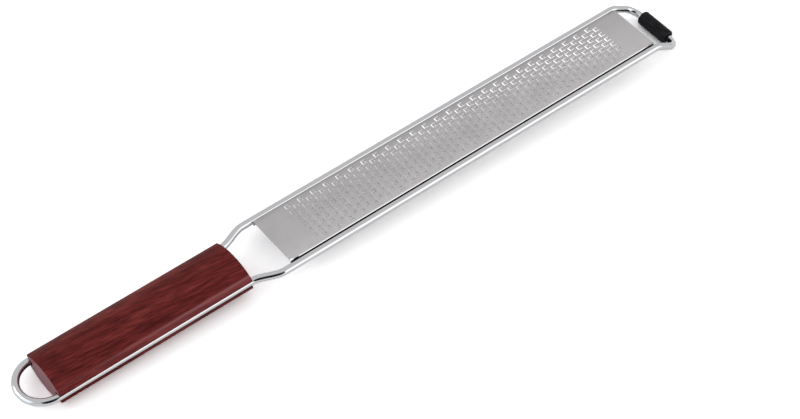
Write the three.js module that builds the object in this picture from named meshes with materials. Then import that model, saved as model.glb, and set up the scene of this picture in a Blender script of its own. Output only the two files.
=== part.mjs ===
// Hand-held rasp grater, in millimetres, +Z up.
// One steel rod is bent to a closed frame: a hanging loop, two runs let into the sides of a wooden
// handle, two necks that spread out, two rails that carry the toothed blade, and a tip bent down to
// a cross bar, which wears a rubber foot. The tool is drawn with its rails level, X towards the tip
// and X = 0 at the blade's heel, and is then laid on the table, on its handle and its foot.
import * as THREE from 'three';
import { mergeVertices } from 'three/addons/utils/BufferGeometryUtils.js';

// Frame rod
const rodDiameter = 3.6;
const railSpacing = 32.7;
const gripSpacing = 22.8;
const neckLength = 15.6;
const kneeRadius = 9.0;
const tipReach = 14.5;
const tipDrop = 8.7;
const cornerRadius = 7.2;

// Blade
const bladeLength = 218.8;
const sheetThickness = 0.5;
const sheetRise = 0.05;
const bendRadius = 0.6;
const flangeDepth = 3.0;
const heelMargin = 15.5;
const toeMargin = 13.0;
const sideMargin = 0.1;

// Teeth of the blade: each is a raised lip with two wings, open towards the tip
const toothLength = 2.6;
const toothWidth = 2.6;
const toothHeight = 0.6;
const toothBackWidth = 2.2;
const toothLipWidth = 1.3;
const toothBackSlope = 1.1;
const webAlong = 1.035;
const webAcross = 1.57;

// Wooden handle
const handleLength = 99.3;
const handleSide = 2.05;
const handleEndThickness = 14.0;
const handleMiddleThickness = 13.5;
const handleNeckThickness = 12.8;
const slotLip = 0.35;
const crownFullness = 2.3;

// Rubber foot
const footWall = 1.55;
const footEdgeRadius = 0.6;

// Clearances and gaps between the pieces
const grooveClearance = 0.3;
const weldClearance = 0.25;
const footClearance = 0.3;
const footEndClearance = 0.2;
const neckToBlade = 4.6;
const handleToNeck = 0.2;
const handleToLoop = 0.8;
const toeBeyondKnee = 1.4;

// Fineness of the round forms
const rodSides = 12;
const loopSteps = 11;
const neckSteps = 6;
const kneeSteps = 3;
const cornerSteps = 5;
const bendSteps = 3;
const crownSteps = 11;
const grooveSteps = 6;
const handleSteps = 8;
const footSides = 24;

// Places along the tool, worked out from the blade's heel
const rodRadius = rodDiameter / 2;
const neckEnd = -neckToBlade;
const neckStart = neckEnd - neckLength;
const handleFront = neckStart - handleToNeck;
const handleBack = handleFront - handleLength;
const loopCentre = handleBack - handleToLoop;
const tipAngle = Math.atan2(tipDrop, tipReach);
const kneeStart = bladeLength - toeBeyondKnee;
const barX = kneeStart + kneeRadius * Math.tan(tipAngle / 2) + tipReach;
const barZ = -tipDrop;
const footRadius = rodRadius + footClearance + footWall;

const vector = (x, y, z) => new THREE.Vector3(x, y, z);

// A solid from a flat list of corners, three to a triangle.
function solidFromCorners(corners) {
  const geometry = new THREE.BufferGeometry().setFromPoints(corners);
  return mergeVertices(geometry, 1e-5);
}

// A library geometry with its seams closed.
function closedGeometry(geometry) {
  geometry.deleteAttribute('normal');
  geometry.deleteAttribute('uv');
  return mergeVertices(geometry, 1e-5);
}

function quad(corners, a, b, c, d) {
  corners.push(a, b, c, a, c, d);
}

function named(name, geometry, color, roughness, metalness) {
  geometry.computeVertexNormals();
  const mesh = new THREE.Mesh(geometry, new THREE.MeshStandardMaterial({ color, roughness, metalness }));
  mesh.name = name;
  return mesh;
}

// Stations of a bend: the rod starts at centre + start * radius, heading along `heading`.
function bend(centre, start, heading, radius, angle, steps) {
  return Array.from({ length: steps + 1 }, (_, i) => {
    const turn = (angle * i) / steps;
    const out = start.clone().multiplyScalar(Math.cos(turn)).addScaledVector(heading, Math.sin(turn));
    const along = heading.clone().multiplyScalar(Math.cos(turn)).addScaledVector(start, -Math.sin(turn));
    return { point: centre.clone().addScaledVector(out, radius), tangent: along };
  });
}

// Stations along the neck, a smooth S from the handle's spacing to the rails' spacing.
function neckStations() {
  const third = neckLength / 3;
  const curve = new THREE.CubicBezierCurve3(
    vector(neckStart, gripSpacing / 2, 0),
    vector(neckStart + third, gripSpacing / 2, 0),
    vector(neckEnd - third, railSpacing / 2, 0),
    vector(neckEnd, railSpacing / 2, 0),
  );
  return Array.from({ length: neckSteps + 1 }, (_, i) => {
    const t = i / neckSteps;
    return { point: curve.getPoint(t), tangent: curve.getTangent(t) };
  });
}

// Half of the rod on the +Y side, from the middle of the hanging loop to the end of the tip's corner.
function halfRod() {
  const back = vector(-1, 0, 0);
  const side = vector(0, 1, 0);
  const ahead = vector(1, 0, 0);
  const up = vector(0, 0, 1);
  const legDirection = vector(Math.cos(tipAngle), 0, -Math.sin(tipAngle));
  const legEnd = vector(barX, railSpacing / 2, barZ).addScaledVector(legDirection, -cornerRadius);
  const cornerCentre = legEnd.clone().addScaledVector(side, -cornerRadius);
  const kneeCentre = vector(kneeStart, railSpacing / 2, -kneeRadius);
  return [
    ...bend(vector(loopCentre, 0, 0), back, side, gripSpacing / 2, Math.PI / 2, loopSteps),
    ...neckStations(),
    ...bend(kneeCentre, up, ahead, kneeRadius, tipAngle, kneeSteps),
    ...bend(cornerCentre, side, legDirection, cornerRadius, Math.PI / 2, cornerSteps),
  ];
}

// A closed curve that is sampled at its own stations, so that straight runs need no rings.
class BentRod extends THREE.Curve {
  constructor(stations) {
    super();
    this.stations = stations;
  }

  stationAt(u) {
    const count = this.stations.length;
    return this.stations[Math.round(u * count) % count];
  }

  getPointAt(u, target = new THREE.Vector3()) {
    return target.copy(this.stationAt(u).point);
  }

  getTangentAt(u, target = new THREE.Vector3()) {
    return target.copy(this.stationAt(u).tangent);
  }
}

// The whole rod: the half above, and its mirror image run backwards to the loop's middle.
function frameRod() {
  const half = halfRod();
  const mirrored = half.slice(1).reverse().map(({ point, tangent }) => ({
    point: vector(point.x, -point.y, point.z),
    tangent: vector(-tangent.x, tangent.y, -tangent.z),
  }));
  const stations = [...half, ...mirrored];
  const tube = new THREE.TubeGeometry(new BentRod(stations), stations.length, rodRadius, rodSides, true);
  return closedGeometry(tube);
}

// Section of the blade: an inverted channel whose flanges stand against the rods' inner sides.
const bladeHalfWidth = railSpacing / 2 - rodRadius - weldClearance;
const bladeTop = rodRadius + sheetRise;
const flatHalfWidth = bladeHalfWidth - bendRadius;
const flangeBottom = bladeTop - flangeDepth;

// One skin of the channel as [y, z] points, from the flange at -Y over the flat to the flange at +Y.
function channelSkin(inset) {
  const radius = bendRadius - inset;
  const bendPoints = Array.from({ length: bendSteps + 1 }, (_, i) => {
    const turn = (Math.PI / 2) * (i / bendSteps);
    const y = flatHalfWidth + radius * Math.cos(turn);
    const z = bladeTop - bendRadius + radius * Math.sin(turn);
    return [y, z];
  });
  const right = [[bladeHalfWidth - inset, flangeBottom], ...bendPoints];
  const left = right.map(([y, z]) => [-y, z]);
  return [...left, ...right.reverse()];
}

// The toothed field: columns of cells, each column half a cell aside from the one before it.
const cellLength = toothLength + webAlong;
const cellWidth = toothWidth + webAcross;
const columnCells = Math.floor((2 * (flatHalfWidth - sideMargin)) / cellWidth - 0.5);
const rowLines = 2 * columnCells + 1;
const fieldHalfWidth = (rowLines * cellWidth) / 4;
const fieldStart = heelMargin - webAlong / 2;
const columnPairs = Math.floor((bladeLength - toeMargin - heelMargin + webAlong) / (2 * cellLength));
const columnCount = 2 * columnPairs;
const columnX = (k) => fieldStart + k * cellLength;
const rowY = (j) => (j * cellWidth) / 2 - fieldHalfWidth;

// Outline of the tooth in the cell of column k whose lower edge is on row line j.
function toothOutline(k, j) {
  const back = columnX(k) + webAlong / 2;
  const mouth = back + toothLength;
  const middle = rowY(j + 1);
  return {
    frontLow: [mouth, middle - toothWidth / 2],
    frontHigh: [mouth, middle + toothWidth / 2],
    backLow: [back, middle - toothBackWidth / 2],
    backHigh: [back, middle + toothBackWidth / 2],
  };
}

// Flat triangles of that cell around its tooth, counter-clockwise seen from above.
function cellFlats(k, j, tooth) {
  const { frontLow, frontHigh, backLow, backHigh } = tooth;
  const southWest = [columnX(k), rowY(j)];
  const southEast = [columnX(k + 1), rowY(j)];
  const east = [columnX(k + 1), rowY(j + 1)];
  const northEast = [columnX(k + 1), rowY(j + 2)];
  const northWest = [columnX(k), rowY(j + 2)];
  const west = [columnX(k), rowY(j + 1)];
  return [
    [southWest, southEast, frontLow],
    [southEast, east, frontLow],
    [east, frontHigh, frontLow],
    [east, northEast, frontHigh],
    [northEast, northWest, frontHigh],
    [northWest, backHigh, frontHigh],
    [northWest, west, backHigh],
    [west, backLow, backHigh],
    [west, southWest, backLow],
    [southWest, frontLow, backLow],
  ];
}

// Flat triangles between a straight row of points and one edge of the sheet, counter-clockwise.
function marginFlats(row, edgeStart, edgeEnd) {
  const middle = Math.floor(row.length / 2);
  const flats = [[edgeStart, edgeEnd, row[middle]]];
  for (let i = 0; i + 1 < row.length; i += 1) {
    const edge = i < middle ? edgeStart : edgeEnd;
    flats.push([edge, row[i + 1], row[i]]);
  }
  return flats;
}

// Margins around the toothed field, out to the bends and to the blade's ends.
function fieldMargins() {
  const columns = Array.from({ length: columnCount + 1 }, (_, k) => columnX(k));
  const rows = Array.from({ length: rowLines + 1 }, (_, j) => rowY(j));
  const heelLow = [0, -flatHalfWidth];
  const heelHigh = [0, flatHalfWidth];
  const toeLow = [bladeLength, -flatHalfWidth];
  const toeHigh = [bladeLength, flatHalfWidth];
  return [
    ...marginFlats(columns.map((x) => [x, rowY(0)]), heelLow, toeLow),
    ...marginFlats(rows.map((y) => [columnX(columnCount), y]), toeLow, toeHigh),
    ...marginFlats(columns.map((x) => [x, rowY(rowLines)]).reverse(), toeHigh, heelHigh),
    ...marginFlats(rows.map((y) => [columnX(0), y]).reverse(), heelHigh, heelLow),
  ];
}

// One tooth: a sloping back up to the lip, and a wing on each side that runs down to the mouth.
function addTooth(corners, tooth) {
  const { frontLow, frontHigh, backLow, backHigh } = tooth;
  const lipX = backLow[0] + toothBackSlope;
  const middle = (frontLow[1] + frontHigh[1]) / 2;
  const skin = (height) => {
    const flat = ([x, y]) => vector(x, y, height);
    return {
      backLow: flat(backLow),
      backHigh: flat(backHigh),
      frontLow: flat(frontLow),
      frontHigh: flat(frontHigh),
      lipLow: vector(lipX, middle - toothLipWidth / 2, height + toothHeight),
      lipHigh: vector(lipX, middle + toothLipWidth / 2, height + toothHeight),
    };
  };
  const top = skin(bladeTop);
  const under = skin(bladeTop - sheetThickness);
  corners.push(top.backLow, top.frontLow, top.lipLow);
  corners.push(top.backHigh, top.lipHigh, top.frontHigh);
  quad(corners, top.backHigh, top.backLow, top.lipLow, top.lipHigh);
  corners.push(under.backLow, under.lipLow, under.frontLow);
  corners.push(under.backHigh, under.frontHigh, under.lipHigh);
  quad(corners, under.backHigh, under.lipHigh, under.lipLow, under.backLow);
  quad(corners, under.frontLow, under.lipLow, top.lipLow, top.frontLow);
  quad(corners, under.lipLow, under.lipHigh, top.lipHigh, top.lipLow);
  quad(corners, under.lipHigh, under.frontHigh, top.frontHigh, top.lipHigh);
  quad(corners, under.frontHigh, under.frontLow, top.frontLow, top.frontHigh);
}

// Bends and flanges along both sides of the blade, and the cut faces of the channel.
function addChannel(corners) {
  const outer = channelSkin(0);
  const inner = channelSkin(sheetThickness);
  const last = outer.length - 1;
  const flat = outer.length / 2 - 1;
  const heel = ([y, z]) => vector(0, y, z);
  const toe = ([y, z]) => vector(bladeLength, y, z);
  for (let i = 0; i < last; i += 1) {
    if (i !== flat) {
      quad(corners, heel(outer[i + 1]), heel(outer[i]), toe(outer[i]), toe(outer[i + 1]));
      quad(corners, heel(inner[i]), heel(inner[i + 1]), toe(inner[i + 1]), toe(inner[i]));
    }
    quad(corners, heel(outer[i]), heel(outer[i + 1]), heel(inner[i + 1]), heel(inner[i]));
    quad(corners, toe(outer[i + 1]), toe(outer[i]), toe(inner[i]), toe(inner[i + 1]));
  }
  quad(corners, heel(outer[0]), heel(inner[0]), toe(inner[0]), toe(outer[0]));
  quad(corners, heel(inner[last]), heel(outer[last]), toe(outer[last]), toe(inner[last]));
}

function gratingBlade() {
  const corners = [];
  const flats = fieldMargins();
  for (let k = 0; k < columnCount; k += 1) {
    const firstRow = 1 - (k % 2);
    for (let j = firstRow; j + 2 <= rowLines; j += 2) {
      const tooth = toothOutline(k, j);
      flats.push(...cellFlats(k, j, tooth));
      addTooth(corners, tooth);
    }
    const plainRow = firstRow ? 0 : rowLines - 1;
    const low = [columnX(k), rowY(plainRow)];
    const lowFar = [columnX(k + 1), rowY(plainRow)];
    const high = [columnX(k), rowY(plainRow + 1)];
    const highFar = [columnX(k + 1), rowY(plainRow + 1)];
    flats.push([low, lowFar, highFar], [low, highFar, high]);
  }
  for (const [a, b, c] of flats) {
    corners.push(...[a, b, c].map(([x, y]) => vector(x, y, bladeTop)));
    corners.push(...[a, c, b].map(([x, y]) => vector(x, y, bladeTop - sheetThickness)));
  }
  addChannel(corners);
  return solidFromCorners(corners);
}

// Half thickness of the handle at a share of its length from the loop: a parabola through three sizes.
function handleHalfThickness(share) {
  const control = 2 * handleMiddleThickness - (handleEndThickness + handleNeckThickness) / 2;
  const rest = 1 - share;
  const thickness = rest * rest * handleEndThickness
    + 2 * share * rest * control
    + share * share * handleNeckThickness;
  return thickness / 2;
}

// Section of the handle as [y, z] points: two crowned faces that meet a slot for the rod in each side.
function handleSection(share) {
  const halfWidth = gripSpacing / 2 + handleSide;
  const slot = rodRadius + grooveClearance;
  const lip = slot + slotLip;
  const crownRise = handleHalfThickness(share) - lip;
  const crown = Array.from({ length: crownSteps + 1 }, (_, i) => {
    const across = 1 - (2 * i) / crownSteps;
    return [halfWidth * across, lip + crownRise * (1 - Math.abs(across) ** crownFullness)];
  });
  const groove = Array.from({ length: grooveSteps + 1 }, (_, i) => {
    const turn = Math.PI * (i / grooveSteps);
    return [slot * Math.sin(turn) - gripSpacing / 2, slot * Math.cos(turn)];
  });
  const topAndLeft = [...crown, [-halfWidth, slot], ...groove, [-halfWidth, -slot]];
  const turned = topAndLeft.map(([y, z]) => [-y, -z]);
  return [...topAndLeft, ...turned];
}

// The handle is a loft of that section between its two flat ends.
function woodHandle() {
  const corners = [];
  const rings = Array.from({ length: handleSteps + 1 }, (_, i) => {
    const share = i / handleSteps;
    const x = handleBack + handleLength * share;
    return handleSection(share).map(([y, z]) => vector(x, y, z));
  });
  for (let i = 0; i < handleSteps; i += 1) {
    rings[i].forEach((corner, j) => {
      const next = (j + 1) % rings[i].length;
      quad(corners, corner, rings[i][next], rings[i + 1][next], rings[i + 1][j]);
    });
  }
  for (const [ring, facesTip] of [[rings[0], false], [rings[handleSteps], true]]) {
    const outline = ring.map(({ y, z }) => new THREE.Vector2(y, z));
    for (const [a, b, c] of THREE.ShapeUtils.triangulateShape(outline, [])) {
      corners.push(ring[a], facesTip ? ring[b] : ring[c], facesTip ? ring[c] : ring[b]);
    }
  }
  return solidFromCorners(corners);
}

// The foot is a thick rubber sleeve on the straight part of the tip's cross bar.
function rubberFoot() {
  const bore = rodRadius + footClearance;
  const halfLength = railSpacing / 2 - cornerRadius - footEndClearance;
  const edge = Math.min(footEdgeRadius, footWall / 2);
  const profile = [
    [bore, -halfLength],
    [footRadius - edge, -halfLength],
    [footRadius, -halfLength + edge],
    [footRadius, halfLength - edge],
    [footRadius - edge, halfLength],
    [bore, halfLength],
    [bore, -halfLength],
  ];
  const points = profile.map(([r, along]) => new THREE.Vector2(r, along));
  return closedGeometry(new THREE.LatheGeometry(points, footSides));
}

// Angle that the rails rise towards the tip when the handle and the foot both touch the table.
function restAngle() {
  const angles = Array.from({ length: handleSteps + 1 }, (_, i) => {
    const share = i / handleSteps;
    const lengthwise = barX - (handleBack + handleLength * share);
    const handleDepth = Math.max(...handleSection(share).map(([, z]) => z));
    const upright = barZ + handleDepth;
    const reach = Math.hypot(upright, lengthwise);
    return Math.asin(footRadius / reach) - Math.atan2(upright, lengthwise);
  });
  return Math.min(...angles);
}

const steel = 0xb9b9bb;
const polishedSteel = 0xc9cacc;
const redWood = 0x622b2c;
const blackRubber = 0x17171a;

const tool = new THREE.Group();
tool.add(named('frame_rod', frameRod(), polishedSteel, 0.18, 1.0));
tool.add(named('grating_blade', gratingBlade(), steel, 0.32, 1.0));
tool.add(named('wood_handle', woodHandle(), redWood, 0.35, 0.0));
const foot = named('rubber_foot', rubberFoot(), blackRubber, 0.8, 0.0);
foot.position.set(barX, 0, barZ);
tool.add(foot);
tool.rotation.y = -restAngle();

// The grater lies on the plane Z = 0, with its box centred on the origin in X and Y.
const grater = new THREE.Group();
grater.add(tool);
grater.updateMatrixWorld(true);
const box = new THREE.Box3().setFromObject(tool, true);
const centre = box.getCenter(new THREE.Vector3());
tool.position.set(-centre.x, -centre.y, -box.min.z);

export default grater;
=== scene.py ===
import math
import bpy
import numpy as np
from mathutils import Matrix


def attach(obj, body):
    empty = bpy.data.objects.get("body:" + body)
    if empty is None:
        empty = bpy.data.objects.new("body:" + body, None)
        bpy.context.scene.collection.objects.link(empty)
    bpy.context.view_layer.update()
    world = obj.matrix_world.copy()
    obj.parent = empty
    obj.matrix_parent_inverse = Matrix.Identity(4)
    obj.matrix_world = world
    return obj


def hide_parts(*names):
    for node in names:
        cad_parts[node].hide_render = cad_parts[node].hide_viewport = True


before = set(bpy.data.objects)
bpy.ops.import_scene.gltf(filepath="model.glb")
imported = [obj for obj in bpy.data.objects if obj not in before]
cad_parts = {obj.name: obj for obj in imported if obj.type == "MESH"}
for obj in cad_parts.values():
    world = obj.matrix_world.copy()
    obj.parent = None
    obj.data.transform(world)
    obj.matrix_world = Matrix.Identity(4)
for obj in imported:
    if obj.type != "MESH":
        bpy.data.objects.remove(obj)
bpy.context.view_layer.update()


# Frame rod: one length of polished stainless rod, bent cold to a ring. It makes the hanging loop, the
# two runs in the handle's sides, the necks, the rails under the blade's edges and the bent-down tip.
# Sizes here are millimetres on the tool itself: X = 0 at the blade's heel, X to the tip, rods at Z = 0.
rod_radius = 1.8
rail_y = 16.35
grip_y = 11.8
loop_x = -120.1
neck_from = -20.2
neck_to = -4.6
knee_x = 217.4
knee_radius = 9.0
tip_reach = 14.5
tip_drop = 8.7
corner_radius = 7.2
rod_sides = 28
tip_turn = math.atan2(tip_drop, tip_reach)
bar_x = knee_x + knee_radius * math.tan(tip_turn / 2) + tip_reach

rest_turn = 0.01516078
rest_shift = np.array([-52.23137870, 0.0, 8.79555828])


def laid_down(points):
    """The tool's millimetres to metres on the table: turned about Y by the rest turn, then shifted."""
    c, s = math.cos(rest_turn), math.sin(rest_turn)
    turn = np.array([[c, 0.0, -s], [0.0, 1.0, 0.0], [s, 0.0, c]])
    return (points @ turn.T + rest_shift) / 1000


def grid_quads(rows, columns, closed_rows, closed_columns):
    """Corner numbers of the quads of a grid of points, row by row, wrapping round where it is closed."""
    i, j = np.meshgrid(
        np.arange(rows if closed_rows else rows - 1),
        np.arange(columns if closed_columns else columns - 1),
        indexing="ij",
    )
    i2, j2 = (i + 1) % rows, (j + 1) % columns
    corners = [i * columns + j, i2 * columns + j, i2 * columns + j2, i * columns + j2]
    return np.stack(corners, axis=-1).reshape(-1, 4)


def new_piece(name, points, faces, material):
    """A smooth mesh object from points in the tool's millimetres and lists of corner numbers."""
    mesh = bpy.data.meshes.new(name)
    mesh.from_pydata(laid_down(points).tolist(), [], faces)
    mesh.polygons.foreach_set("use_smooth", np.ones(len(mesh.polygons), bool))
    mesh.update()
    piece = bpy.data.objects.new(name, mesh)
    bpy.context.scene.collection.objects.link(piece)
    mesh.materials.append(material)
    return piece


def bend(centre, start, heading, radius, angle, steps):
    """An arc and its tangents: centre + radius * (start * cos a + heading * sin a), a from 0 to angle."""
    a = np.linspace(0, angle, steps)[:, None]
    out = start * np.cos(a) + heading * np.sin(a)
    along = heading * np.cos(a) - start * np.sin(a)
    return centre + radius * out, along


def half_rod():
    """Centre line and tangents on the +Y side, from the loop's middle to the cross bar's middle: a
    quarter circle, a straight, an S whose Y is a smooth step of X, a straight, the knee's arc, the
    sloping leg, the corner's quarter circle and half of the bar."""
    back, side, ahead, up = np.array([[-1, 0, 0], [0, 1, 0], [1, 0, 0], [0, 0, 1]], float)
    leg = np.array([math.cos(tip_turn), 0, -math.sin(tip_turn)])
    leg_end = np.array([bar_x, rail_y, -tip_drop]) - leg * corner_radius
    loop = bend(np.array([loop_x, 0, 0]), back, side, grip_y, math.pi / 2, 25)
    t = np.linspace(0, 1, 25)
    length, spread = neck_to - neck_from, rail_y - grip_y
    neck = np.stack([neck_from + length * t, grip_y + spread * (3 * t**2 - 2 * t**3), 0 * t], axis=1)
    neck_way = np.stack([length + 0 * t, spread * 6 * t * (1 - t), 0 * t], axis=1)
    neck_way /= np.linalg.norm(neck_way, axis=1, keepdims=True)
    knee = bend(np.array([knee_x, rail_y, -knee_radius]), up, ahead, knee_radius, tip_turn, 9)
    corner = bend(leg_end - side * corner_radius, side, leg, corner_radius, math.pi / 2, 19)
    middle = np.array([[bar_x, 0, -tip_drop]])
    points = np.concatenate([loop[0], neck, knee[0], corner[0], middle])
    tangents = np.concatenate([loop[1], neck_way, knee[1], corner[1], -side[None]])
    return points, tangents


def swept_rod(sides):
    """A circle of the rod's radius carried round the closed centre line, square to its tangent, and the
    length run so far at each circle. The circle's zero mark is the way up from the rod's plane, which
    tilts forward from the knee on."""
    points, tangents = half_rod()
    mirror = np.array([1, -1, 1])
    points = np.concatenate([points, points[-2:0:-1] * mirror])
    tangents = np.concatenate([tangents, -tangents[-2:0:-1] * mirror])
    tilt = np.clip((points[:, :1] - knee_x) / (knee_radius * math.sin(tip_turn)), 0, 1)
    tilt = np.arcsin(tilt * math.sin(tip_turn))
    up = np.concatenate([np.sin(tilt), 0 * tilt, np.cos(tilt)], axis=1)
    side = np.cross(up, tangents)
    a = np.linspace(0, 2 * math.pi, sides, endpoint=False)[None, :, None]
    rings = points[:, None] + rod_radius * (up[:, None] * np.cos(a) + side[:, None] * np.sin(a))
    step = np.linalg.norm(np.roll(points, -1, axis=0) - points, axis=1)
    return rings, np.concatenate([[0], np.cumsum(step)])


def shader_nodes(name):
    """A new material, its main shader, a way to add a node and a way to join an output to the shader.
    A node's inputs are given by name, with _ for a space, or by number where names repeat."""
    material = bpy.data.materials.new(name)
    material.use_nodes = True
    tree = material.node_tree
    shader = tree.nodes["Principled BSDF"]

    def add(kind, settings=None, numbered=None, **named):
        node = tree.nodes.new(kind)
        for key, value in (settings or {}).items():
            setattr(node, key, value)
        inputs = {key.replace("_", " "): value for key, value in named.items()}
        for key, value in (inputs | (numbered or {})).items():
            if isinstance(value, bpy.types.NodeSocket):
                tree.links.new(value, node.inputs[key])
            else:
                node.inputs[key].default_value = value
        return node

    def join(output, socket):
        tree.links.new(output, shader.inputs[socket])

    return material, shader, add, join


def noise(add, place, scale, detail, distortion=0.0):
    """Smooth noise on a place. Three scales stretch it along the axes."""
    if isinstance(scale, tuple):
        place = add("ShaderNodeMapping", Vector=place, Scale=scale).outputs["Vector"]
        scale = 1.0
    node = add("ShaderNodeTexNoise", Vector=place, Scale=scale, Detail=detail, Distortion=distortion)
    return node.outputs["Fac"]


def ramp(add, factor, stops):
    """A colour ramp on a factor, from (place, colour) stops in order; a single number is a grey."""
    node = add("ShaderNodeValToRGB", Fac=factor)
    elements = node.color_ramp.elements
    for place, _ in stops[2:]:
        elements.new(place)
    for element, (place, colour) in zip(elements, stops):
        element.position = place
        element.color = (*(colour if isinstance(colour, tuple) else (colour,) * 3), 1)
    return node.outputs["Color"]


def scaled(add, value, low, high, at_low=0.0, at_high=1.0, kind="LINEAR"):
    """A value taken from the range low to high to the range at_low to at_high, and held there beyond."""
    node = add("ShaderNodeMapRange", {"interpolation_type": kind}, Value=value,
               From_Min=low, From_Max=high, To_Min=at_low, To_Max=at_high)
    return node.outputs["Result"]


def maths(add, operation, *values):
    """One sum on values, by the operation's name."""
    return add("ShaderNodeMath", {"operation": operation}, dict(enumerate(values))).outputs["Value"]


def axes(add, place):
    """A place's X, Y and Z."""
    return add("ShaderNodeSeparateXYZ", Vector=place).outputs


def relief(add, join, height, strength, depth):
    """A fine relief on the surface, from a height."""
    bump = add("ShaderNodeBump", Height=height, Strength=strength, Distance=depth)
    join(bump.outputs["Normal"], "Normal")


def polished_rod_steel():
    """Bright drawn steel: fine lines run along the rod, and the polish varies a little from place to
    place. The inside of the hanging loop is painted dark: a painted shade and reflection of the dark
    handle end and the shaded floor."""
    material, shader, add, join = shader_nodes("polished_rod_steel")
    shader.inputs["Metallic"].default_value = 1.0
    place = add("ShaderNodeUVMap", {"uv_map": "along_rod"}).outputs["UV"]
    # Painted shade: the inner flank of the hanging loop is coloured dark, standing in for the shade and
    # the dark reflection it shows.
    turn = scaled(add, axes(add, place)["Y"], 0.0, 2 * math.pi * rod_radius)
    inside = ramp(add, turn, [(0.58, 0.0), (0.64, 1.0), (0.82, 1.0), (0.87, 0.0)])
    spot = axes(add, add("ShaderNodeTexCoord").outputs["Object"])
    behind = scaled(add, spot["X"], -0.170, -0.173)
    dark = maths(add, "MULTIPLY", inside, behind)
    join(ramp(add, dark, [(0.0, (0.78, 0.785, 0.80)), (1.0, (0.10, 0.085, 0.09))]), "Base Color")
    lines = noise(add, place, (0.05, 9.0, 1.0), 5.0)
    cloud = noise(add, place, 0.25, 3.0)
    join(scaled(add, maths(add, "MULTIPLY", lines, cloud), 0.1, 0.45, 0.06, 0.13), "Roughness")
    relief(add, join, lines, 0.06, 0.00003)
    return material


rings, run = swept_rod(rod_sides)
rod = new_piece(
    "bent_frame_rod",
    rings.reshape(-1, 3),
    grid_quads(*rings.shape[:2], True, True).tolist(),
    polished_rod_steel(),
)
around = np.linspace(0, 2 * math.pi * rod_radius, rod_sides + 1)
i, j = np.meshgrid(np.arange(len(rings)), np.arange(rod_sides), indexing="ij")
corner_u = np.stack([run[i], run[i + 1], run[i + 1], run[i]], axis=-1)
corner_v = np.stack([around[j], around[j], around[j + 1], around[j + 1]], axis=-1)
uv = np.stack([corner_u, corner_v], axis=-1).astype(np.float32)
rod.data.uv_layers.new(name="along_rod").data.foreach_set("uv", uv.ravel())
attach(rod, "root")
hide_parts("frame_rod")


# Grating blade: stainless sheet, half a millimetre thick, bent to a shallow channel that opens downward;
# its flanges are spot-welded to the rails' inner sides. The teeth are pushed up out of the sheet in
# staggered columns: low horseshoe ridges, open towards the tip, each with a slit through the sheet.
blade_length = 218.8
sheet = 0.5
blade_top = 1.85
blade_half = 14.53
bend_radius = 0.7
flange_bottom = -1.15
cell_long = 3.635
half_cell = 2.085
tooth_rise = 0.28
ridge_half = 0.3075
tooth_lip = 2.0
tooth_end = 2.5
tooth_long = 2.6
field_from = 16.0
field_low = 13.3
columns = 52
teeth_across = 6
half_cells = 13
ridge_lines = 3
bend_points = 7
side_points = bend_points + 1
dark_strips = 3
tiny = 1e-6


def blade_lines():
    """Grid lines of the blade: X lines at each tooth's foot, crest, lip and mouth, and Y lines that serve
    both the even columns' teeth and the odd columns', which sit half a cell aside."""
    in_cell = np.array([0, ridge_half, 2 * ridge_half, tooth_lip, tooth_end, tooth_long])
    field_x = (field_from + cell_long * np.arange(columns)[:, None] + in_cell).ravel()
    x = np.concatenate([[0, 5.0, 10.0], field_x, [field_x[-1] + 6, blade_length]])
    in_half = half_cell / 2 + ridge_half * np.linspace(-1, 1, ridge_lines)
    field_y = (half_cell * np.arange(half_cells)[:, None] - field_low + in_half).ravel()
    return x, field_y


def blade_skin(x, y, inset):
    """One skin of the sheet: flat over the Y lines, then a quarter-circle bend and a flange on each side,
    all at the given depth below the outer face. Returns points as an (X lines, section points) grid."""
    turn = np.linspace(0, math.pi / 2, bend_points)
    bent_y = blade_half - bend_radius + (bend_radius - inset) * np.sin(turn)
    bent_z = blade_top - bend_radius + (bend_radius - inset) * np.cos(turn)
    side_y = np.concatenate([bent_y, [blade_half - inset]])
    side_z = np.concatenate([bent_z, [flange_bottom]])
    section_y = np.concatenate([-side_y[::-1], y, side_y])
    section_z = np.concatenate([side_z[::-1], np.full(len(y), blade_top - inset), side_z])
    points = np.empty((len(x), len(section_y), 3))
    points[..., 0] = x[:, None]
    points[..., 1] = section_y
    points[..., 2] = section_z
    return points


def tooth_heights(x, y):
    """Height of the teeth over the sheet: each is a ridge bent to a horseshoe, highest on a line round
    its back and sides and falling evenly to both sides of that line. Odd columns sit half a cell aside."""
    column = np.floor((x - field_from) / cell_long + tiny)
    in_field = (column >= 0) & (column < columns)
    along = (x - field_from - cell_long * column)[:, None]
    aside = np.where(column % 2 == 0, 2, 1)[:, None]
    row = (y + field_low)[None, :] / half_cell
    near = aside + 2 * np.clip(np.round((row - aside) / 2), 0, teeth_across - 1)
    across = np.abs(row - near) * half_cell
    from_crest = np.abs(np.maximum(across - half_cell / 2, ridge_half - along))
    rise = np.clip(1 - from_crest / ridge_half, 0, 1) * (along < tooth_end + tiny)
    return tooth_rise * rise * in_field[:, None]


def blade_quads(x, points_across):
    """Quads of one skin, without those between a tooth's lip and its mouth's end: the slits."""
    quads = grid_quads(len(x), points_across, False, False)
    x_of, y_of = np.divmod(quads[:, 0], points_across)
    column, along = np.divmod(x[x_of] - field_from + tiny, cell_long)
    half_row, line = np.divmod(y_of - side_points, ridge_lines)
    row = np.where(line == ridge_lines - 1, half_row + 1, 0)
    slit = (row > 0) & (row < half_cells) & (row % 2 == column % 2)
    slit &= (along >= tooth_lip) & (along < tooth_end) & (column >= 0) & (column < columns)
    return quads[~slit]


def tinted(add, first, second, share=1.0):
    """One colour times another, in full or by a share."""
    settings = {"data_type": "RGBA", "blend_type": "MULTIPLY"}
    return add("ShaderNodeMix", settings, {0: share, 6: first, 7: second}).outputs[2]


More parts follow.
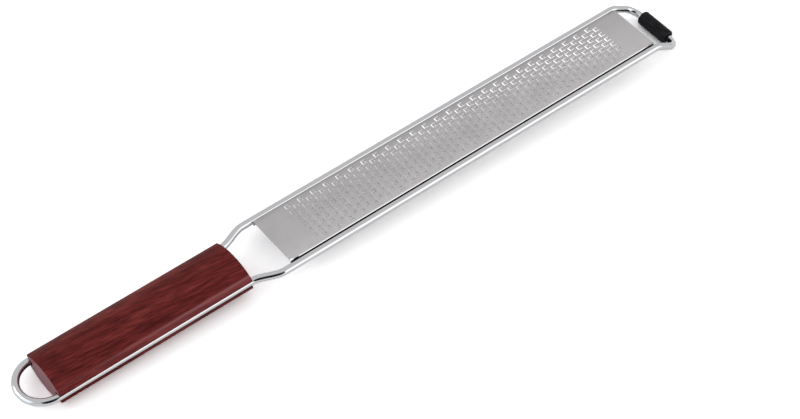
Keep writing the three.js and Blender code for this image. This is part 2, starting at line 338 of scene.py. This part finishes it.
def satin_sheet_steel():
    """Satin rolled steel: very fine lines along the blade and a faint cloudiness. The sheen is sharper
    on the +Y side and towards the toe. The tone is painted lighter on the -Y side and darker at the +Y
    edge: painted light for how the light falls across the blade."""
    material, shader, add, join = shader_nodes("satin_sheet_steel")
    shader.inputs["Metallic"].default_value = 1.0
    place = add("ShaderNodeTexCoord").outputs["Object"]
    spot = axes(add, place)
    lines = noise(add, place, (60.0, 5200.0, 5200.0), 4.0)
    cloud = noise(add, place, 90.0, 4.0)
    tone = ramp(add, cloud, [(0.3, (0.606, 0.588, 0.588)), (0.7, (0.652, 0.634, 0.634))])
    # Painted light: the base colour grows lighter towards the -Y side and darker at the +Y edge, standing
    # in for the light falling across the blade.
    share = scaled(add, spot["Y"], 0.014, -0.014)
    bright = ramp(add, share, [(0.0, 0.87), (0.08, 1.02), (0.25, 1.05), (0.5, 1.14), (1.0, 1.24)])
    join(tinted(add, tone, bright), "Base Color")
    aside = maths(add, "MULTIPLY_ADD", spot["X"], 0.05, spot["Y"])
    toe = maths(add, "MULTIPLY_ADD", scaled(add, spot["X"], 0.105, 0.160), 0.008, aside)
    sheen_and_painted_highlight = scaled(add, toe, -0.001, 0.017, 0.74, 0.17, "SMOOTHSTEP")
    join(maths(add, "MULTIPLY_ADD", lines, 0.12, sheen_and_painted_highlight), "Roughness")
    relief(add, join, lines, 0.08, 0.00003)
    return material


def highlight_painted_bend_steel():
    """The outside of the near bend, its steel painted brighter than the sheet: a painted highlight along
    the bend. Faint lines run along it.
    """
    material, shader, add, join = shader_nodes("highlight_painted_bend_steel")
    shader.inputs["Metallic"].default_value = 1.0
    # Painted highlight: the bend's base colour is raised above the sheet's so that a bright line shows
    # along it.
    shader.inputs["Base Color"].default_value = (0.90, 0.90, 0.90, 1)
    lines = noise(add, add("ShaderNodeTexCoord").outputs["Object"], (80.0, 4000.0, 4000.0), 3.0)
    join(scaled(add, lines, 0.0, 1.0, 0.08, 0.20), "Roughness")
    return material


def shade_painted_flange_steel():
    """The near flange's outer face, painted near black as a painted shade for the dark gap beside the
    near rail; cloudy and dull.
    """
    material, shader, add, join = shader_nodes("shade_painted_flange_steel")
    shader.inputs["Metallic"].default_value = 1.0
    shader.inputs["Roughness"].default_value = 0.6
    cloud = noise(add, add("ShaderNodeTexCoord").outputs["Object"], 400.0, 3.0)
    # Painted shade: a near-black colour stands in for the shaded crevice between the bend and the rail.
    join(ramp(add, cloud, [(0.3, (0.008, 0.007, 0.007)), (0.7, (0.020, 0.018, 0.018))]), "Base Color")
    return material


x_lines, y_lines = blade_lines()
outer = blade_skin(x_lines, y_lines, 0.0)
inner = blade_skin(x_lines, y_lines, sheet)
heights = tooth_heights(x_lines, y_lines)
outer[:, side_points:-side_points, 2] += heights
inner[:, side_points:-side_points, 2] += heights
quads = blade_quads(x_lines, outer.shape[1])
edges = np.stack([quads, np.roll(quads, -1, axis=1)], axis=-1).reshape(-1, 2)
_, first, count = np.unique(np.sort(edges, axis=1), axis=0, return_index=True, return_counts=True)
rims = edges[first[count == 1]]
total = outer.shape[0] * outer.shape[1]
rim_quads = np.stack([rims[:, 1], rims[:, 0], rims[:, 0] + total, rims[:, 1] + total], axis=1)
blade = new_piece(
    "toothed_blade",
    np.concatenate([outer.reshape(-1, 3), inner.reshape(-1, 3)]),
    np.concatenate([quads, quads[:, ::-1] + total, rim_quads]).tolist(),
    satin_sheet_steel(),
)
blade.data.materials.append(highlight_painted_bend_steel())
blade.data.materials.append(shade_painted_flange_steel())
strip = quads[:, 0] % outer.shape[1]
far_from = side_points + len(y_lines)
finish = np.zeros(len(blade.data.polygons), np.int32)
# Painted light on the near side: the outermost strips take the painted-shade flange steel, the rest of the
# near bend the painted-highlight steel.
finish[: len(quads)] = np.where(strip < dark_strips, 2, np.where(strip < bend_points, 1, 0))
far_bend = np.zeros(len(finish), bool)
far_bend[: len(quads)] = (strip >= far_from) & (strip < far_from + bend_points - 1)
blade.data.polygons.foreach_set("material_index", finish)
blade.data.polygons.foreach_set("use_smooth", (finish == 1) | far_bend)
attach(blade, "root")
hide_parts("grating_blade")


# Wooden handle: one block of dark red hardwood, shaped to a lens section, a little thicker towards the
# loop, and lacquered. A slot along each side takes the rod; the edges are eased by hand.
handle_from = -119.7
handle_to = -20.0
handle_half = 13.8
slot_half = 2.1
lip_height = 2.45
crown_power = 2.3
ease = 0.45
lip_ease = 0.35
thick_loop, thick_middle, thick_neck = 13.96, 13.46, 12.76
ease_steps = 6
length_steps = 31


def handle_half_thickness(share):
    """Half the handle's thickness, a parabola through its sizes at the loop, the middle and the neck."""
    control = 2 * thick_middle - (thick_loop + thick_neck) / 2
    rest = 1 - share
    return (rest * rest * thick_loop + 2 * share * rest * control + share * share * thick_neck) / 2


def handle_rings():
    """Closed sections along the handle. Each is a crown, lip + rise * (1 - |y / half|^power), a rounded
    lip, a round-bottomed slot, and the same turned over. At the ends the section draws in on a quarter
    circle, twice as far across as in height."""
    turn = np.linspace(0, math.pi / 2, ease_steps)
    level = np.zeros(length_steps - 2)
    draw_in = np.concatenate([ease * (1 - np.sin(turn)), level, ease * (1 - np.cos(turn))])[:, None]
    x = np.concatenate([
        handle_from + ease * (1 - np.cos(turn)),
        np.linspace(handle_from, handle_to, length_steps)[1:-1],
        handle_to - ease * (1 - np.sin(turn)),
    ])
    half_thick = handle_half_thickness((x - handle_from) / (handle_to - handle_from))[:, None]
    across = np.cos(np.linspace(0, math.pi, 61))
    crown = 1 - np.abs(across) ** crown_power
    crown_z = lip_height + (half_thick - lip_height) * crown
    crown_z = crown_z - draw_in * (lip_ease + (1 - lip_ease) * crown)
    a = np.linspace(0, math.pi, 6)[1:]
    lip_r = (lip_height - slot_half) / 2
    lip_y = -handle_half + lip_r * (1 - np.sin(a))
    lip_z = slot_half + lip_r + lip_r * np.cos(a)
    b = np.linspace(0, math.pi, 15)
    groove_y = slot_half * np.sin(b) - grip_y
    groove_z = slot_half * np.cos(b)
    side_z = np.concatenate([lip_z, groove_z, -lip_z[::-1]])
    half_y = np.concatenate([handle_half * across, lip_y, groove_y, lip_y[::-1]])
    half_y = np.broadcast_to(half_y, (len(x), len(half_y)))
    half_z = np.concatenate([crown_z, np.broadcast_to(side_z, (len(x), len(side_z)))], axis=1)
    y = np.concatenate([half_y, -half_y], axis=1) * (1 - 2 * draw_in / handle_half)
    z = np.concatenate([half_z, -half_z], axis=1)
    return np.stack([np.broadcast_to(x[:, None], y.shape), y, z], axis=-1)


def lacquered_red_wood():
    """Dark red wood: streaks and short dark pores, slightly across the handle, under a thin satin
    lacquer. The near shoulder's ridge is painted paler, most towards the neck: a painted highlight."""
    material, shader, add, join = shader_nodes("lacquered_red_wood")
    place = add("ShaderNodeTexCoord").outputs["Object"]
    turned = add("ShaderNodeVectorRotate", {"rotation_type": "Z_AXIS"}, Vector=place, Angle=0.10)
    turned = turned.outputs["Vector"]
    streak = noise(add, turned, (34.0, 260.0, 260.0), 3.0, 0.4)
    grain = noise(add, turned, (130.0, 1500.0, 1500.0), 4.0)
    pore = noise(add, turned, (240.0, 2600.0, 2600.0), 2.0)
    tone = ramp(add, streak, [
        (0.30, (0.110, 0.0152, 0.0155)),
        (0.50, (0.153, 0.0220, 0.0210)),
        (0.70, (0.205, 0.0350, 0.0285)),
    ])
    fleck = ramp(add, grain, [(0.36, (0.50, 0.48, 0.48)), (0.64, 1.40)])
    dots = ramp(add, pore, [(0.30, 0.45), (0.42, 1.0)])
    wood = tinted(add, tinted(add, tone, fleck, 0.8), dots, 0.7)
    spot = axes(add, place)
    # Painted highlight: a paler band along the near shoulder's ridge, strongest towards the neck.
    highlight_across = ramp(add, scaled(add, spot["Y"], -0.0123, -0.0106), [(0.0, 0.2), (0.5, 0.8), (1.0, 0.0)])
    fading = ramp(add, scaled(add, spot["X"], -0.175, -0.085), [(0.1, 0.15), (0.8, 1.0)])
    sheen_and_painted_highlight = tinted(add, highlight_across, fading)
    paler = (0.32, 0.120, 0.130, 1)
    ridge = add("ShaderNodeMix", {"data_type": "RGBA"}, {0: sheen_and_painted_highlight, 6: wood, 7: paler})
    join(ridge.outputs[2], "Base Color")
    join(scaled(add, grain, 0.0, 1.0, 0.26, 0.40), "Roughness")
    shader.inputs["Specular IOR Level"].default_value = 0.05
    relief(add, join, pore, 0.12, 0.00005)
    return material


def sawn_end_grain():
    """End grain under the same lacquer: paler and duller, with fine dots and faint growth bands."""
    material, shader, add, join = shader_nodes("sawn_end_grain")
    place = add("ShaderNodeTexCoord").outputs["Object"]
    dots = noise(add, place, 1500.0, 3.0)
    bands = add("ShaderNodeTexWave", {"bands_direction": "Z"}, Vector=place, Scale=260.0, Distortion=3.0)
    tone = ramp(add, dots, [(0.35, (0.22, 0.080, 0.089)), (0.65, (0.39, 0.181, 0.201))])
    shade = ramp(add, bands.outputs["Fac"], [(0.0, 0.85), (1.0, 1.0)])
    join(tinted(add, tone, shade), "Base Color")
    shader.inputs["Roughness"].default_value = 0.5
    shader.inputs["Specular IOR Level"].default_value = 0.35
    relief(add, join, dots, 0.15, 0.00005)
    return material


sections = handle_rings()
per_ring = sections.shape[1]
last_ring = (sections.shape[0] - 1) * per_ring
sides = grid_quads(*sections.shape[:2], False, True)[:, ::-1]
back_end = np.arange(per_ring)[::-1].tolist()
front_end = (last_ring + np.arange(per_ring)).tolist()
handle = new_piece(
    "lens_handle",
    sections.reshape(-1, 3),
    sides.tolist() + [back_end, front_end],
    lacquered_red_wood(),
)
handle.data.materials.append(sawn_end_grain())
on_end = np.zeros(len(handle.data.polygons), np.int32)
on_end[-2:] = 1
handle.data.polygons.foreach_set("material_index", on_end)
handle.data.polygons.foreach_set("use_smooth", on_end == 0)
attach(handle, "root")
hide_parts("wood_handle")


# Rubber foot: a thick black sleeve pushed over the straight part of the cross bar before the rod was
# closed. It keeps the tip from slipping on the table or on a bowl's rim.
foot_radius = 3.65
foot_bore = 2.1
foot_half = 8.95
foot_edge = 0.6
foot_steps = 64


def foot_sleeve(steps):
    """A profile turned round the cross bar: the outside, a quarter-circle edge at each end, the bore."""
    a = np.linspace(0, math.pi / 2, 6)
    edge_r = foot_radius - foot_edge + foot_edge * np.sin(a)
    edge_y = foot_half - foot_edge + foot_edge * np.cos(a)
    outside = np.linspace(foot_half - foot_edge, foot_edge - foot_half, 9)[1:-1]
    radius = [[foot_bore], edge_r, np.full(len(outside), foot_radius), edge_r[::-1], [foot_bore]]
    radius = np.concatenate(radius)
    along = np.concatenate([[foot_half], edge_y, outside, -edge_y[::-1], [-foot_half]])
    turn = np.linspace(0, 2 * math.pi, steps, endpoint=False)[:, None]
    return np.stack([
        bar_x + radius * np.sin(turn),
        np.broadcast_to(along, (steps, len(along))),
        -tip_drop + radius * np.cos(turn),
    ], axis=-1)


def matte_black_rubber():
    """Drawn rubber: nearly black, dull, with fine streaks along the sleeve that catch a little light."""
    material, shader, add, join = shader_nodes("matte_black_rubber")
    skin = noise(add, add("ShaderNodeTexCoord").outputs["Object"], (1100.0, 200.0, 1100.0), 4.0)
    tone = ramp(add, skin, [(0.42, (0.0005, 0.0005, 0.001)), (0.62, (0.016, 0.016, 0.020))])
    join(tone, "Base Color")
    join(scaled(add, skin, 0.0, 1.0, 0.45, 0.75), "Roughness")
    shader.inputs["Specular IOR Level"].default_value = 0.2
    relief(add, join, skin, 0.5, 0.00012)
    return material


sleeve = foot_sleeve(foot_steps)
foot = new_piece(
    "rubber_sleeve",
    sleeve.reshape(-1, 3),
    grid_quads(*sleeve.shape[:2], True, True)[:, ::-1].tolist(),
    matte_black_rubber(),
)
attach(foot, "root")
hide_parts("rubber_foot")


# Stage: a white table top that keeps the soft shadow, a pale room with a bright front and a window on
# the left, one soft lamp and the camera. The camera stands where the photograph's did, in front of the
# tool and to the left.
floor_half = 3
floor_paint = (0.90, 0.90, 0.90, 1)
floor_seen = (1.70, 1.70, 1.70, 1)
corners = [(-floor_half, -floor_half, 0), (floor_half, -floor_half, 0),
           (floor_half, floor_half, 0), (-floor_half, floor_half, 0)]
floor_mesh = bpy.data.meshes.new("table_top")
floor_mesh.from_pydata(corners, [], [(0, 1, 2, 3)])
table_top = bpy.data.objects.new("table_top", floor_mesh)
bpy.context.scene.collection.objects.link(table_top)
white = bpy.data.materials.new("white_table")
white.use_nodes = True
nodes, links = white.node_tree.nodes, white.node_tree.links
nodes.clear()
paint = nodes.new("ShaderNodeBsdfDiffuse")
paint.inputs["Color"].default_value = floor_paint
backdrop = nodes.new("ShaderNodeBsdfDiffuse")
backdrop.inputs["Color"].default_value = floor_seen
path = nodes.new("ShaderNodeLightPath")
seen = nodes.new("ShaderNodeMixShader")
links.new(path.outputs["Is Camera Ray"], seen.inputs[0])
links.new(paint.outputs["BSDF"], seen.inputs[1])
links.new(backdrop.outputs["BSDF"], seen.inputs[2])
output = nodes.new("ShaderNodeOutputMaterial")
links.new(seen.outputs["Shader"], output.inputs["Surface"])
floor_mesh.materials.append(white)

room = bpy.data.worlds.new("pale_room")
bpy.context.scene.world = room
room.use_nodes = True
nodes, links = room.node_tree.nodes, room.node_tree.links


def room_shade(axis, stops):
    """Colour of the room by the cosine of a direction to an axis, from two (cosine, colour) stops."""
    way = nodes.new("ShaderNodeTexCoord")
    turn = nodes.new("ShaderNodeVectorMath")
    turn.operation = "DOT_PRODUCT"
    turn.inputs[1].default_value = np.array(axis) / np.linalg.norm(axis)
    links.new(way.outputs["Generated"], turn.inputs[0])
    share = nodes.new("ShaderNodeMapRange")
    share.inputs["From Min"].default_value = -1.0
    links.new(turn.outputs["Value"], share.inputs["Value"])
    shade = nodes.new("ShaderNodeValToRGB")
    for element, (cosine, colour) in zip(shade.color_ramp.elements, stops):
        element.position = (cosine + 1) / 2
        element.color = (*colour, 1)
    links.new(share.outputs["Result"], shade.inputs["Fac"])
    return shade.outputs["Color"]


def multiplied(first, second, share=None):
    """Two colours of the room, one times the other, in full or by the given share."""
    both = nodes.new("ShaderNodeMix")
    both.data_type = "RGBA"
    both.blend_type = "MULTIPLY"
    both.inputs["Factor"].default_value = 1.0
    if share:
        links.new(share, both.inputs["Factor"])
    links.new(first, both.inputs[6])
    links.new(second, both.inputs[7])
    return both.outputs[2]


plain, pale, bright = (1.0, 1.0, 1.0), (0.62, 0.62, 0.62), (1.35, 1.35, 1.35)
window, black = (1.83, 1.92, 2.04), (0.06, 0.06, 0.065)
white_front = room_shade((0.45, -0.85, 0.22), [(0.74, pale), (0.87, bright)])
left_window = room_shade((-0.85, 0.25, 0.35), [(0.80, plain), (0.88, window)])
dark_low = room_shade((-0.22, -0.90, 0.38), [(0.900, plain), (0.915, black)])
dark_high = room_shade((-0.18, -0.75, 0.64), [(0.900, plain), (0.915, black)])
in_gloss = nodes.new("ShaderNodeLightPath").outputs["Is Glossy Ray"]
dark_cards = multiplied(dark_low, dark_high)
room_light = multiplied(multiplied(white_front, left_window), dark_cards, in_gloss)
links.new(room_light, nodes["Background"].inputs["Color"])


def soft_box(name, direction, distance, width, height, watts):
    """A rectangular lamp at that distance from the tool's middle, facing it."""
    lamp = bpy.data.lights.new(name, "AREA")
    lamp.shape = "RECTANGLE"
    lamp.size = width
    lamp.size_y = height
    lamp.energy = watts
    box = bpy.data.objects.new(name, lamp)
    bpy.context.scene.collection.objects.link(box)
    back = np.array(direction, float) / np.linalg.norm(direction)
    right = np.cross([0, 0, 1], back)
    right /= np.linalg.norm(right)
    stand = np.eye(4)
    stand[:3] = np.stack([right, np.cross(back, right), back, back * distance], axis=1)
    box.matrix_world = Matrix(stand.tolist())


soft_box("left_back_lamp", (-0.70, 0.48, 0.52), 1.4, 0.8, 0.6, 2.0)

camera_data = bpy.data.cameras.new("camera")
camera_data.sensor_width = 36
camera_data.lens = 92.196
camera = bpy.data.objects.new("camera", camera_data)
bpy.context.scene.collection.objects.link(camera)
camera.matrix_world = Matrix((
    (0.78566, 0.46539, -0.40762, -0.37462),
    (-0.61855, 0.60359, -0.50307, -0.48867),
    (0.01191, 0.64737, 0.76208, 0.71970),
    (0, 0, 0, 1),
))
bpy.context.scene.camera = camera
bpy.context.scene.view_settings.view_transform = "Standard"
